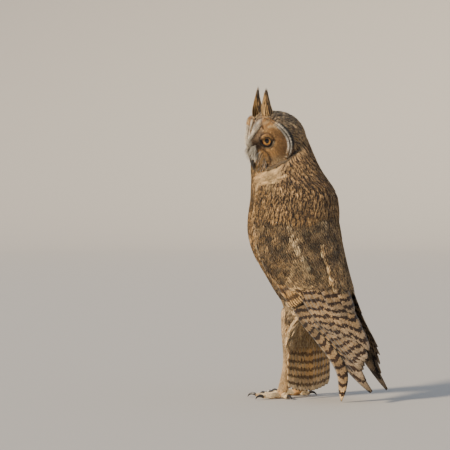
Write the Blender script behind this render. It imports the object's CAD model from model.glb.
# %% [markdown]
# # A long-eared owl, standing tall
# The solids of the owl come in as a fixed frame, in metres, with the floor at z = 0. Everything below is
# laid over that frame: one skin, then the plumage tract by tract, then eyes, bill, claws, and last the
# studio.

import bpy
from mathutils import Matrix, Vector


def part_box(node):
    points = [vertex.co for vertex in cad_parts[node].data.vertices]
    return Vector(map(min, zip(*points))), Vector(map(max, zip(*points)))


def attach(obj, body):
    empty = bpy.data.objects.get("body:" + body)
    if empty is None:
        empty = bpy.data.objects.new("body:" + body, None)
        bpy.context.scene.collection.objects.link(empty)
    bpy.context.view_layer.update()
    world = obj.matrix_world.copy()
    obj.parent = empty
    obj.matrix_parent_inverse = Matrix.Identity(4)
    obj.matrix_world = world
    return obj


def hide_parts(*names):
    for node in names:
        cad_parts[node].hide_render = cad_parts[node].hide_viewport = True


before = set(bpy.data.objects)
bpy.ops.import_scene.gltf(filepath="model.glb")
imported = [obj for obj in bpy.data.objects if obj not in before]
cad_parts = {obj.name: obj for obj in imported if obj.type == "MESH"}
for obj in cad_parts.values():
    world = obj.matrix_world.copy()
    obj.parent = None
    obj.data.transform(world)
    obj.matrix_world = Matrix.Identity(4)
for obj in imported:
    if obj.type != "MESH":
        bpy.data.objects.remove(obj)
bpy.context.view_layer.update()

# %% [markdown]
# ## Measures
# The owl is described by a few tables in millimetres, the same ones that its solids were made from. A table
# row starts with a place along a part and goes on with sizes there, and a smooth curve is read through the
# rows. Tables like these are easy to correct against the photo, one row at a time.

# %% Measures of the body
import math

import bmesh
import bpy
import numpy as np
from mathutils import Vector

MM = 0.001
TURN = 2 * math.pi
SMALL = 1e-3
SIDES = {1: "left", -1: "right"}
CHANCE = np.random.default_rng(7)
even, bell = CHANCE.random, CHANCE.standard_normal

HEAD_YAW, HEAD_PITCH = math.radians(70), math.radians(12)
HEAD_CENTRE = np.array([0.0, -40.0, 316.0])
HEAD_BACK, HEAD_FRONT, HEAD_HALF_WIDTH, HEAD_HALF_HEIGHT = 45.0, 31.0, 39.0, 38.5
TORSO_BOTTOM, TORSO_TOP = 112.0, 262.0
# height, centre y, half width, half depth
BODY = np.array([
    (112.0, 9.5, 28.0, 23.0), (130.0, 8.0, 38.0, 35.0), (151.0, 2.0, 44.0, 43.0), (177.0, -8.0, 49.0, 50.0),
    (205.0, -13.5, 52.0, 53.0), (228.0, -12.5, 52.0, 53.0), (245.0, -12.0, 48.0, 51.5),
    (262.0, -14.0, 43.0, 50.0), (280.0, -17.0, 40.0, 46.0), (287.0, -19.0, 39.0, 43.0),
])
CHIN_FORWARD, CHIN_UP, NAPE_SLOPE = 27.0, -29.0, math.radians(30)
NECK_TOP_FRONT, NECK_TOP_BACK, NECK_TOP_SIDE = 27.0, 45.0, 38.0


def columns(*parts):
    """Numbers or arrays put side by side, as the last axis of one array."""
    return np.stack(np.broadcast_arrays(*parts), -1)


def apart(array):
    """The last axis of an array taken apart, the opposite of columns."""
    return np.moveaxis(np.asarray(array, float), -1, 0)


def picked(chosen, *arrays):
    """The chosen rows of each array."""
    return [array[chosen] for array in arrays]


def smooth(at, knots):
    """Cubic Hermite curve through the knots, whose slopes are the mean slopes between neighbours."""
    at = np.clip(np.asarray(at, float), knots[0, 0], knots[-1, 0])
    place, value = knots[:, 0], knots[:, 1:]
    slope = np.gradient(value, place, axis=0)
    low = np.clip(np.searchsorted(place, at, side="right") - 1, 0, len(place) - 2)
    span = (place[low + 1] - place[low])[..., None]
    t = (at - place[low])[..., None] / span
    return (
        (2 * t**3 - 3 * t**2 + 1) * value[low] + (t**3 - 2 * t**2 + t) * span * slope[low]
        + (3 * t**2 - 2 * t**3) * value[low + 1] + (t**3 - t**2) * span * slope[low + 1]
    )


def unit(vectors):
    """Each vector divided by its length."""
    return vectors / np.maximum(np.linalg.norm(vectors, axis=-1, keepdims=True), 1e-9)


def step(low, high, value):
    """0 below low, 1 above high, and 3 x x - 2 x x x between them. Low may be the larger one."""
    x = np.clip((value - low) / (high - low), 0, 1)
    return x * x * (3 - 2 * x)


def hump(value, width):
    """1 at 0, falling off as e to the power of minus the square of value over width."""
    return np.exp(-((value / width) ** 2))


def head_frame(ahead, left, up):
    """The head's own forward, left and up, pitched down, turned about the vertical and moved to the head."""
    level = ahead * math.cos(HEAD_PITCH) + up * math.sin(HEAD_PITCH)
    height = up * math.cos(HEAD_PITCH) - ahead * math.sin(HEAD_PITCH)
    x = level * math.sin(HEAD_YAW) + left * math.cos(HEAD_YAW)
    y = -level * math.cos(HEAD_YAW) + left * math.sin(HEAD_YAW)
    return columns(x, y, height) + HEAD_CENTRE


def head_direction(ahead, left, up):
    """A direction in the head's frame, turned into the tables' frame."""
    return head_frame(ahead, left, up) - HEAD_CENTRE


def head_parts(points):
    """Ahead, left and up of points, in the head's own frame."""
    x, y, z = apart(points - HEAD_CENTRE)
    level = x * math.sin(HEAD_YAW) - y * math.cos(HEAD_YAW)
    left = x * math.cos(HEAD_YAW) + y * math.sin(HEAD_YAW)
    ahead = level * math.cos(HEAD_PITCH) - z * math.sin(HEAD_PITCH)
    return ahead, left, level * math.sin(HEAD_PITCH) + z * math.cos(HEAD_PITCH)


# %% [markdown]
# The tables' own origin lies under the owl's middle, and the frame's under the middle of its box. The left
# eye is a ball in both, so the way from one of its centres to the other is the way from the tables to the
# frame.

# %% From the tables to the frame
EYE_FORWARD, EYE_SIDE, EYE_UP, EYE_RADIUS, EYE_LOOK = 16.5, 14.5, 6.0, 10.0, math.radians(28)


def eye_axes(side):
    """An eye's centre, its line of sight and the level way out from it, in the head's own frame."""
    sight = columns(math.cos(EYE_LOOK), side * math.sin(EYE_LOOK), 0.0)
    out = columns(-math.sin(EYE_LOOK), side * math.cos(EYE_LOOK), 0.0)
    return columns(EYE_FORWARD, side * EYE_SIDE, EYE_UP), sight, out


eye_in_frame = np.mean(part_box("eye_left"), axis=0) / MM
SHIFT = eye_in_frame - head_frame(*eye_axes(1)[0])
SHIFT[[0, 2]] = 0
print("tables moved by", SHIFT.round(2), "mm")

# %% [markdown]
# ## Meshes from arrays
# Every piece is worked out as whole arrays and put into a mesh in one go, because adding hundreds of
# thousands of points one by one would take minutes.

# %% Mesh helpers
def put_mesh(name, points, faces):
    """A smooth mesh object at the origin, from points in millimetres and faces of equal size."""
    mesh = bpy.data.meshes.new(name)
    mesh.vertices.add(len(points))
    mesh.vertices.foreach_set("co", ((points + SHIFT) * MM).astype(np.float32).ravel())
    mesh.loops.add(faces.size)
    mesh.loops.foreach_set("vertex_index", faces.astype(np.int32).ravel())
    mesh.polygons.add(len(faces))
    mesh.polygons.foreach_set("loop_start", np.arange(0, faces.size, faces.shape[1], dtype=np.int32))
    mesh.update(calc_edges=True)
    mesh.polygons.foreach_set("use_smooth", np.ones(len(faces), bool))
    made = bpy.data.objects.new(name, mesh)
    bpy.context.scene.collection.objects.link(made)
    return made


def outward(points, faces):
    """The faces, turned round if the volume that they enclose comes out negative.

    The volume is the sum of a . (b x c) / 6 over their corners."""
    a, b, c = (points[faces[:, corner]] for corner in range(3))
    total = np.einsum("ij,ij->i", a, np.cross(b, c)).sum()
    if faces.shape[1] == 4:
        total += np.einsum("ij,ij->i", a, np.cross(c, points[faces[:, 3]])).sum()
    return faces if total > 0 else faces[:, ::-1]


def add_map(made, name, values):
    """A UV map with one value for each vertex, copied to the corners of its faces."""
    corners = np.empty(len(made.data.loops), np.int32)
    made.data.loops.foreach_get("vertex_index", corners)
    layer = made.data.uv_layers.new(name=name)
    layer.data.foreach_set("uv", values[corners].astype(np.float32).ravel())


def grid_faces(rows, across, closed=False):
    """Four-cornered faces of a grid, whose last column may join its first."""
    r, c = np.meshgrid(np.arange(rows - 1), np.arange(across if closed else across - 1), indexing="ij")
    here, after = r * across + c, r * across + (c + 1) % across
    return columns(here, after, after + across, here + across).reshape(-1, 4)


def closed_tube(rings):
    """Points and faces of a closed tube: rings of equal size, with a ring shrunk to a point at each end."""
    count = rings.shape[1]
    first, last = (np.repeat(ring.mean(axis=1, keepdims=True), count, 1) for ring in (rings[:1], rings[-1:]))
    rings = np.concatenate([first, rings, last])
    points = rings.reshape(-1, 3)
    return points, outward(points, grid_faces(len(rings), count, True))


def welded(made):
    """Merges the points that lie on each other, as at the ends of a closed tube."""
    work = bmesh.new()
    work.from_mesh(made.data)
    bmesh.ops.remove_doubles(work, verts=work.verts, dist=1e-7)
    bmesh.ops.recalc_face_normals(work, faces=work.faces)
    work.to_mesh(made.data)
    work.free()
    return made


# %% [markdown]
# A feather is a closed blade: sections with a few points each, carried along a line of stations. It gets
# two maps. One says where a point lies on the feather, and its markings are drawn from that. The other is a
# small patch at the root's place on the coat, for baking, so that feathers side by side are side by side
# there too.

# %% Feathers
# each section's points as shares of the half width across and of the ridge's height
SMALL_SECTION = np.array([(-1.0, 0.0), (0.0, 1.0), (1.0, 0.0)])
BROAD_SECTION = np.array([(-1.0, -0.6), (-0.55, 0.5), (0.0, 1.0), (0.55, 0.5), (1.0, -0.6), (0.0, -0.6)])
# the faces that close a blade at its root and at its tip, by the number of points in its section
CAPS = {3: ([(0, 2, 1)], [(0, 1, 2)]), 6: ([(0, 5, 4, 1), (1, 4, 3, 2)], [(0, 1, 4, 5), (1, 2, 3, 4)])}
PATCH = 0.003


def feather_mesh(name, path, up, half_width, ridge, section, places, looks, reach=1.0, side_at=0.0,
                 side_span=1.0):
    """Closed blades along lines of stations.

    A point is the station, plus the section's first number times the half width across, plus its second
    number times the ridge's height upwards. Across is up x along, made square to both. A blade can be one
    strand of a feather: then it covers the feather's length up to its reach, and a part of its width
    about side_at."""
    count, stations = path.shape[:2]
    size = len(section)
    along = unit(np.gradient(path, axis=1))
    across = unit(np.cross(up, along))
    rise = unit(np.cross(along, across))
    wide = section[:, 0][:, None] * half_width[:, :, None, None] * across[:, :, None]
    high = section[:, 1][:, None] * ridge[:, :, None, None] * rise[:, :, None]
    points = (path[:, :, None] + wide + high).reshape(-1, 3)
    one = grid_faces(stations, size, True)
    if size == len(SMALL_SECTION):
        one = np.concatenate([one[:, [0, 1, 2]], one[:, [0, 2, 3]]])
    at_root, at_tip = (np.array(cap) for cap in CAPS[size])
    one = np.concatenate([one, at_root, at_tip + (stations - 1) * size])
    faces = (one[None] + (np.arange(count) * stations * size)[:, None, None]).reshape(-1, one.shape[1])
    made = put_mesh(name, points, outward(points, faces))
    side, share = np.meshgrid(section[:, 0], np.linspace(0, 1, stations))
    reach, side_at = (np.broadcast_to(value, count)[:, None, None] for value in (reach, side_at))
    add_map(made, "feather", columns(share * reach, (side * side_span + side_at) / 2 + 0.5).reshape(-1, 2))
    patch = np.clip(places, 0.01, 0.99)[:, None, None] + columns(side / 2, share - 0.5) * PATCH
    add_map(made, "OFBake", patch.reshape(-1, 2))
    for key, value in looks.items():
        value = np.repeat(np.broadcast_to(value, (count, 3)), stations * size, 0)
        layer = made.data.attributes.new(key, "FLOAT_COLOR", "POINT")
        layer.data.foreach_set("color", columns(*value.T, 1.0).astype(np.float32).ravel())
    return made


# %% [markdown]
# ## The markings of a feather
# Materials are trees of nodes. A wire stands for one value in such a tree, so that a marking can be written
# down as a sum or a product, and the nodes for it are made on the way.

# %% Node helpers
class Wire:
    """One value in a node tree. Plus, minus, times and abs add the Math node that they stand for."""

    def __init__(self, tree, socket):
        self.tree, self.socket = tree, socket

    def to(self, operation, *others):
        """A Math node on this value and others."""
        return node(self.tree, "ShaderNodeMath", {"operation": operation}, self, *others)[0]

    def __add__(self, other):
        return self.to("ADD", other)

    def __sub__(self, other):
        return self.to("SUBTRACT", other)

    def __mul__(self, other):
        return self.to("MULTIPLY", other)

    def __abs__(self):
        return self.to("ABSOLUTE")


def join(tree, value, socket):
    """Wires a value to an input, or sets the input to it if it is a plain number or colour."""
    if isinstance(value, Wire):
        tree.links.new(value.socket, socket)
    else:
        socket.default_value = value


def node(tree, kind, settings=None, *numbered, **named):
    """A new node, with its inputs given by number or by name. It gives back its outputs as wires."""
    made = tree.nodes.new(kind)
    for key, value in (settings or {}).items():
        setattr(made, key, value)
    for key, value in [*enumerate(numbered), *named.items()]:
        if value is not None:
            join(tree, value, made.inputs[key.replace("_", " ") if isinstance(key, str) else key])
    return [Wire(tree, socket) for socket in made.outputs]


def ramp(value, low, high, out_low=0.0, out_high=1.0):
    """A smooth step from low to high."""
    settings = {"interpolation_type": "SMOOTHSTEP"}
    return node(value.tree, "ShaderNodeMapRange", settings, value, low, high, out_low, out_high)[0]


def blend(tree, share, first, second, kind="MIX"):
    """Two colours mixed by a share. The Mix node's inputs 6 and 7 and its output 2 are for colours."""
    first, second = (value if isinstance(value, Wire) else (*value, 1.0) for value in (first, second))
    settings = {"data_type": "RGBA", "blend_type": kind}
    return node(tree, "ShaderNodeMix", settings, share, *[None] * 5, first, second)[2]


def noise(place, scale, detail=3.0):
    """Noise from 0 to 1 at a place."""
    return node(place.tree, "ShaderNodeTexNoise", Vector=place, Scale=scale, Detail=detail)[0]


def attribute(tree, name):
    """The wires of an attribute of the mesh: the first is a colour, the second a vector."""
    return node(tree, "ShaderNodeAttribute", {"attribute_name": name})


def object_place(tree):
    """The place on the object, in metres."""
    return node(tree, "ShaderNodeTexCoord")[3]


def shaded(tree, **values):
    """Puts values or wires on the sockets of the tree's Principled shader."""
    for key, value in values.items():
        join(tree, value, tree.nodes["Principled BSDF"].inputs[key.replace("_", " ")])


def material(name, **values):
    """A new material with these values on its shader, and its node tree."""
    made = bpy.data.materials.new(name)
    made.use_nodes = True
    shaded(made.node_tree, **values)
    return made, made.node_tree


# %% [markdown]
# Most of this owl's feathers follow one plan. A dark streak runs along the shaft, broken bars cross the
# vane, the edge is pale, and fine barbs slant away from the shaft. One node group draws that plan from the
# feather's own map. The colours and the strength of each mark come with the feather, as attributes, so one
# material is enough for thousands of feathers that all differ.

# %% The plan of the markings
FLOAT, COLOUR, VECTOR = "NodeSocketFloat", "NodeSocketColor", "NodeSocketVector"
WAVER = 0.9
BARB_COUNT, BARB_SLANT = 420.0, -130.0

marks = bpy.data.node_groups.new("feather marks", "ShaderNodeTree")
for title, kind in (("Place", VECTOR), ("On Feather", VECTOR), ("Ground", COLOUR), ("Mark", COLOUR),
                    ("Edge", COLOUR), ("Plan", VECTOR), ("Fine", VECTOR)):
    marks.interface.new_socket(title, in_out="INPUT", socket_type=kind)
for title, kind in (("Color", COLOUR), ("Height", FLOAT)):
    marks.interface.new_socket(title, in_out="OUTPUT", socket_type=kind)
place, on_feather, ground, mark, edge, plan, fine, _ = node(marks, "NodeGroupInput")
share, side, _ = node(marks, "ShaderNodeSeparateXYZ", None, on_feather)
streak_width, bar_count, bar_strength = node(marks, "ShaderNodeSeparateXYZ", None, plan)
fleck_strength, edge_strength, seed = node(marks, "ShaderNodeSeparateXYZ", None, fine)
seeds = node(marks, "ShaderNodeCombineXYZ", None, seed, seed, seed)[0]
moved = {"operation": "MULTIPLY_ADD"}
own_place = node(marks, "ShaderNodeVectorMath", moved, seeds, (0.5, 0.3, 0.7), place)[0]
aside = abs(side * 2.0 - 1.0)
waver = noise(own_place, 420.0, 4.0) - 0.5
streak = ramp(aside + waver * WAVER, streak_width - 0.1, streak_width + 0.28, 1.0, 0.0)
streak = streak * ramp(streak_width, 0.02, 0.08)
bar_phase = share * bar_count + waver * WAVER + aside * 0.3
bars = ramp((bar_phase * TURN).to("SINE"), -0.1, 0.4) * bar_strength
flecks = ramp(abs(noise(own_place, 430.0, 2.5) - 0.5), 0.0, 0.075, 0.9, 0.0) * fleck_strength
barbs = (share * BARB_COUNT + aside * BARB_SLANT).to("SINE")
pale_edge = ramp(aside, 0.5, 1.05).to("MAXIMUM", ramp(share, 0.72, 1.0))
edged = blend(marks, pale_edge * edge_strength, ground, edge)
marked = blend(marks, streak.to("MAXIMUM", bars.to("MAXIMUM", flecks)), edged, mark)
shade = ramp(noise(place, 60.0), 0.32, 0.68, 0.68, 1.25) * ramp(share, 0.0, 0.55, 0.6, 1.0) + barbs * 0.05
shades = node(marks, "ShaderNodeCombineXYZ", None, shade, shade, shade)[0]
shaft = ramp(aside, 0.0, 0.07, 1.0, 0.0)
node(marks, "NodeGroupOutput", None, blend(marks, 1.0, marked, shades, "MULTIPLY"), barbs * 0.3 + shaft)


def feather_material(name, roughness, bump):
    """Matt keratin with a faint sheen, coloured by the group and the feather's own attributes."""
    made, tree = material(name, Roughness=roughness, Specular_IOR_Level=0.25, Sheen_Weight=0.15)
    colour, height = node(
        tree, "ShaderNodeGroup", {"node_tree": marks}, object_place(tree),
        node(tree, "ShaderNodeUVMap", {"uv_map": "feather"})[0],
        *(attribute(tree, key)[0] for key in ("ground", "mark", "edge")),
        *(attribute(tree, key)[1] for key in ("plan", "fine")),
    )
    raised = node(tree, "ShaderNodeBump", Height=height, Strength=bump, Distance=0.0004)[0]
    shaded(tree, Base_Color=colour, Normal=raised)
    return made


PLUMAGE = feather_material("soft plumage", 0.72, 0.35)
FLIGHT = feather_material("flight feathers", 0.6, 0.25)


def dress(made, finish, slot, *replaced):
    """Gives a piece its material, its body and its slot, and hides the solids that it stands for."""
    made.data.materials.clear()
    made.data.materials.append(finish)
    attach(made, "root")
    if replaced:
        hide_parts(*replaced)
    print(made.name, len(made.data.polygons), "faces")


# %% [markdown]
# ## The shapes under the feathers
# The trunk, the head and the face are smooth surfaces, each read from two numbers. A feather can then be
# laid on any of them with the same few lines, and the skin is made of the same surfaces a few millimetres
# further in, so that the tips of the feathers end where the solids do.

# %% Trunk, head and face
COAT_DEPTH = 4.0
NECK_SPAN = 50.0
DISC_HALF_WIDTH, DISC_UP, DISC_DOWN = 38.0, 35.0, 31.0
RIM_FORWARD, RIM_HEIGHT, RIDGE_HEIGHT = 5.5, 2.2, 7.0
# height over the head's centre, how far forward the face stands there
FACE_MIDLINE = np.array([(-34.0, 19.0), (-20.0, 23.0), (-7.0, 27.0), (5.0, 29.5), (20.0, 27.0), (33.0, 20.0)])


def trunk(turn, rise):
    """The body's outside, by the turn from the breast to the left and the height up to the torso's top.

    The point is (side sin turn, middle - front cos turn, rise). Above the torso's top it goes straight on
    to the ring under the head."""
    turn, rise = np.broadcast_arrays(np.asarray(turn, float), np.asarray(rise, float))
    middle, side, front = apart(smooth(np.minimum(rise, TORSO_TOP), BODY))
    low = columns(side * np.sin(turn), middle - front * np.cos(turn), np.minimum(rise, TORSO_TOP))
    ahead = (low - HEAD_CENTRE) @ np.array([math.sin(HEAD_YAW), -math.cos(HEAD_YAW), 0])
    left = (low - HEAD_CENTRE) @ np.array([math.cos(HEAD_YAW), math.sin(HEAD_YAW), 0])
    around = np.arctan2(left, ahead)
    ahead = np.cos(around) * np.where(np.cos(around) > 0, NECK_TOP_FRONT, NECK_TOP_BACK)
    up = CHIN_UP + (CHIN_FORWARD - ahead) * math.tan(NAPE_SLOPE)
    high = head_frame(ahead, np.sin(around) * NECK_TOP_SIDE, up)
    share = (np.maximum(rise - TORSO_TOP, 0) / NECK_SPAN)[..., None]
    return low * (1 - share) + high * share


def skull(turn, around):
    """The head's outside: turn runs from the face to the back, around starts at the left and goes up.

    Ahead is a power of cos turn in front and cos turn behind, and the reach from the axis a power of sin
    turn."""
    cos, sin = np.cos(turn), np.sin(turn)
    ahead = np.where(cos > 0, HEAD_FRONT * np.abs(cos) ** 0.8, HEAD_BACK * cos)
    reach = np.where(cos > 0, np.abs(sin) ** 0.85, np.abs(sin))
    left, up = HEAD_HALF_WIDTH * reach * np.cos(around), HEAD_HALF_HEIGHT * reach * np.sin(around)
    return head_frame(ahead, left, up)


def face_depth(left, up):
    """How far forward the face stands: the midline's curve falls to the rim, with a ridge and two hollows."""
    across = np.clip(np.abs(left) / DISC_HALF_WIDTH, 0, 1.05) ** 1.6
    middle = smooth(up, FACE_MIDLINE)[..., 0]
    ridge = RIDGE_HEIGHT * np.exp(-((left / 8) ** 2) - ((up - 2) / 18) ** 2)
    hollow = 1.5 * np.exp(-((np.abs(left) - EYE_SIDE) ** 2 + (up - EYE_UP) ** 2) / 121)
    return middle * (1 - across) + RIM_FORWARD * across + ridge - hollow


def face(left, up):
    """The face as points."""
    return head_frame(face_depth(left, up), left, up)


def disc_outline(around):
    """The disc's edge as left and up: two half ellipses, with a notch at the forehead."""
    notch = 1 - 0.14 * np.exp(-(((around - math.pi / 2) / 0.24) ** 2))
    tall = np.where(np.sin(around) > 0, DISC_UP, DISC_DOWN)
    return DISC_HALF_WIDTH * np.cos(around) * notch, tall * np.sin(around) * notch


def slopes(surface, a, b):
    """How a surface moves over a small step of each of its two numbers."""
    return surface(a + SMALL, b) - surface(a - SMALL, b), surface(a, b + SMALL) - surface(a, b - SMALL)


def facing(surface, a, b, outside=1.0):
    """The surface's normals: the cross product of its slopes."""
    return unit(np.cross(*slopes(surface, a, b))) * outside


def face_up(left, up):
    """The face's normals, pointing forward."""
    ups = facing(face, left, up)
    return ups * np.sign(ups @ head_direction(1.0, 0.0, 0.0))[:, None]


# %% [markdown]
# The folded wing, the rump, the tail and a leg are tables too. The right wing and leg are mirror images.

# %% Wing, tail and leg tables
# station from shoulder to tip, then x, y, z
WING_FRONT = np.array([
    (0, 46, -14, 250), (0.12, 53, -30, 230), (0.25, 54, -33, 203), (0.38, 52.5, -27, 178),
    (0.5, 49, -14, 154), (0.6, 46, 1, 133), (0.7, 41, 17, 108), (0.8, 37, 38, 88),
    (0.88, 32, 57, 68), (0.94, 28, 75, 50), (1, 20, 111, 14),
])
WING_BACK = np.array([
    (0, 18, 31, 257), (0.12, 14, 42, 236), (0.25, 12, 50, 208), (0.38, 10, 57, 182), (0.5, 9, 64, 158),
    (0.6, 8, 71, 138), (0.7, 7, 80, 117), (0.8, 7, 92, 92), (0.88, 9, 104, 70), (0.94, 11, 113.5, 50),
    (1, 16, 116, 18),
])
# station, how far the wing bulges past the chord
WING_BULGE = np.array([
    (0, 20), (0.12, 29), (0.25, 37), (0.38, 29), (0.5, 21), (0.7, 17), (0.88, 12), (1, 2),
], float)
WING_CLEAR = 5.6
# share down the rump, then half width, y, height
RUMP = np.array([(0, 6, 75, 133), (0.35, 9, 66, 126), (0.7, 13, 52, 118.5), (1, 15, 42, 112.5)], float)
# share down the tail, then height, centre y, half width, half depth
TAIL = np.array([
    (0, 111.7, 22.5, 22, 9.5), (0.12, 100, 17.5, 31, 7), (0.3, 80, 14, 36.5, 3.5), (0.6, 48, 13, 41, 1.8),
    (1, 9, 12.5, 43, 0.9),
])
TAIL_YAW = math.radians(12)
# share down the leg, then x, y, height, half width, half depth
LEG = np.array([
    (0, 15, -3.5, 111.7, 11.5, 12), (0.3, 16, -4, 86, 10.5, 11), (0.65, 17, -5.5, 46, 6.8, 7.2),
    (0.85, 18.6, -9, 27, 5.6, 6), (1, 19, -14, 4, 7.0, 7.6),
])
# each toe's heading in degrees out from straight ahead, and its length
TOES = ((-18.0, 31.0), (12.0, 34.0), (62.0, 27.0), (150.0, 13.0))
FOOT_SIDE, FOOT_Y = 19.0, -14.0


def outside_trunk(points, clearance):
    """Points moved level away from the trunk's axis until they stand this far outside its ellipses."""
    middle, side, front = apart(smooth(points[..., 2], BODY))
    x, y = points[..., 0], points[..., 1] - middle
    share = np.sqrt((x / side) ** 2 + (y / front) ** 2)
    grow = np.maximum(1, (1 + clearance / np.minimum(side, front)) / np.maximum(share, 1e-6))
    return columns(x * grow, middle + y * grow, points[..., 2])


def wing(station, across):
    """The left wing's outside, from shoulder to tip and from front edge to back edge.

    Across is a quadratic curve: (1-v)(1-v) front + 2 v (1-v) middle + v v back, where the bulge pushes
    the middle out. The result is kept clear of the trunk."""
    station, across = np.broadcast_arrays(np.asarray(station, float), np.asarray(across, float))
    front, back = smooth(station, WING_FRONT), smooth(station, WING_BACK)
    chord = back - front
    out = unit(columns(chord[..., 1], -chord[..., 0], 0.0))
    middle = (front + back) / 2 + out * smooth(station, WING_BULGE)
    v = across[..., None]
    return outside_trunk((1 - v) ** 2 * front + 2 * v * (1 - v) * middle + v**2 * back, WING_CLEAR)


# %% [markdown]
# ## Colours
# The colours are few and have names. A feather's own colour is laid together from them, a share of each, by
# its place on the body and by chance, so that no two feathers are quite alike.

# %% Colours
def drifts(points, size, seed):
    """Soft irregular patches from 0 to 1: the mean of ten sine waves that run in chance directions."""
    chance = np.random.default_rng(seed)
    ways = chance.standard_normal((10, points.shape[1])) / size
    waves = np.sin(points @ ways.T + chance.random(10) * TURN)
    return np.clip(0.5 + 0.75 * waves.mean(axis=1), 0, 1)


def paint(red, green, blue):
    """A colour given as the 0 to 255 numbers of a screen, in linear light."""
    return (np.array([red, green, blue]) / 255) ** 2.2


WHITE, CREAM, BUFF = paint(240, 233, 218), paint(232, 212, 176), paint(220, 186, 134)
GOLD, OCHRE, TAWNY = paint(212, 168, 106), paint(190, 138, 78), paint(160, 108, 60)
BROWN, DARK, BLACK = paint(104, 76, 50), paint(46, 33, 24), paint(18, 14, 12)
GREY, ASH = paint(172, 156, 134), paint(118, 106, 92)


def layered(base, *layers):
    """A colour with others laid over it by their shares, which may differ from feather to feather."""
    for share, colour in layers:
        base = base + (colour - base) * np.asarray(share, float)[..., None]
    return base


def looks_of(count, ground, mark, edge, streak=0.0, bars=3.0, strength=0.0, flecks=0.0, rim=0.6, vary=0.12):
    """A coat's attributes: three colours for each feather, its plan of marks, and its flecks, rim and seed.

    Each feather is a little lighter or darker than its neighbours."""
    light = 1 + vary * bell((count, 1))
    ground, mark, edge = (np.broadcast_to(colour, (count, 3)) for colour in (ground, mark, edge))
    streak = np.broadcast_to(streak, count)
    return {
        "ground": np.clip(ground * light, 0.002, 0.95), "mark": mark,
        "edge": np.clip(edge * light, 0.002, 0.95),
        "plan": columns(streak, bars, strength), "fine": columns(flecks, rim, even(count)),
    }


# %% [markdown]
# ## One skin
# The shapes overlap, so they are joined and remeshed into one closed skin: cubes of 1.8 mm leave no seams
# to hide and no faces inside. Each shape lies inside the solids by the depth of the feathers over it.

# %% Skin
VOXEL = 0.0018
RING = 64


def toe_path(side, heading, length, share):
    """The middle line of a toe, level, with a low hump: its height falls from 4 to 2.6."""
    turn, reach = math.radians(heading), 4 + (length - 4) * share
    height = 4.0 - 1.4 * share + 0.4 * np.sin(share * math.pi * 3)
    return columns(side * (FOOT_SIDE + reach * math.sin(turn)), FOOT_Y - reach * math.cos(turn), height)


def toe_rings(side, heading, length, inset, around):
    """Rings round a toe, with a swelling over each joint, and flat where they would go under the floor."""
    turn, share = math.radians(heading), np.linspace(-0.1, 1, 14)
    middle = toe_path(side, heading, length, share)[:, None]
    thick = (4.6 - 1.8 * np.maximum(share, 0) + 0.35 * np.sin(share * math.pi * 5) - inset)[:, None, None]
    aside = np.array([side * math.cos(turn), math.sin(turn), 0])
    around = around[None, :, None]
    rings = middle + thick * (np.cos(around) * aside + np.sin(around) * np.array([0, 0, 1]))
    rings[..., 2] = np.maximum(rings[..., 2], 0.05)
    return rings


def skin_shapes():
    """The closed shapes that the skin is fused from: trunk, head, disc, back, legs and toes."""
    around = np.linspace(0, TURN, RING, endpoint=False)
    rise = np.linspace(TORSO_BOTTOM + COAT_DEPTH, TORSO_TOP + NECK_SPAN - 4, 50)
    grid = np.meshgrid(around, rise)
    yield closed_tube(trunk(*grid) - facing(trunk, *grid) * COAT_DEPTH)
    turn, ring = np.meshgrid(np.linspace(0.05, math.pi - 0.05, 40), around, indexing="ij")
    inner = HEAD_CENTRE + (skull(turn, ring) - HEAD_CENTRE) * (1 - COAT_DEPTH / HEAD_HALF_WIDTH)
    ahead, left, up = head_parts(inner)
    yield closed_tube(head_frame(np.minimum(ahead, face_depth(left, up) - 3.5), left, up))
    share = np.concatenate([np.linspace(0.05, 0.96, 16), np.linspace(0.9, 0.05, 6)])[:, None]
    left, up = (part * share for part in disc_outline(around))
    depth = np.where(np.arange(len(share)) < 16, 2.2, 9.0)[:, None]
    yield closed_tube(head_frame(face_depth(left, up) - depth, left, up))
    edge, rump = smooth(np.linspace(0.05, 0.6, 16), WING_BACK), smooth(np.linspace(0.2, 1, 6), RUMP)
    half, y, height = (
        np.concatenate([edge[:, k] + at_edge, rump[:, k] + at_rump])[:, None]
        for k, at_edge, at_rump in ((0, 14, 6), (1, -4, -5), (2, 0, 0))
    )
    middle = smooth(height[:, 0], BODY)[:, :1]
    back_y = (middle + y) / 2 - (y - middle) / 2 * np.cos(around)
    yield closed_tube(columns(half * np.sin(around), back_y, height))
    for side in SIDES:
        x, y, height, wide, deep = smooth(np.linspace(0, 1, 24), LEG).T[..., None]
        thin = np.where(height > 50, 2.5, 1.4)
        leg = columns(side * x + (wide - thin) * np.cos(around), y + (deep - thin) * np.sin(around), height)
        yield closed_tube(leg)
        for heading, length in TOES:
            yield closed_tube(toe_rings(side, heading, length, 1.0, around))


shapes = [welded(put_mesh(f"shape_{number}", *shape)) for number, shape in enumerate(skin_shapes())]
with bpy.context.temp_override(active_object=shapes[0], selected_editable_objects=shapes, object=shapes[0]):
    bpy.ops.object.join()
skin = shapes[0]
skin.name = skin.data.name = "skin"
remesh = skin.modifiers.new("fuse", "REMESH")
remesh.mode, remesh.voxel_size, remesh.use_smooth_shade = "VOXEL", VOXEL, True
fused = bpy.data.meshes.new_from_object(skin.evaluated_get(bpy.context.evaluated_depsgraph_get()))
skin.modifiers.clear()
skin.data = fused

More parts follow.
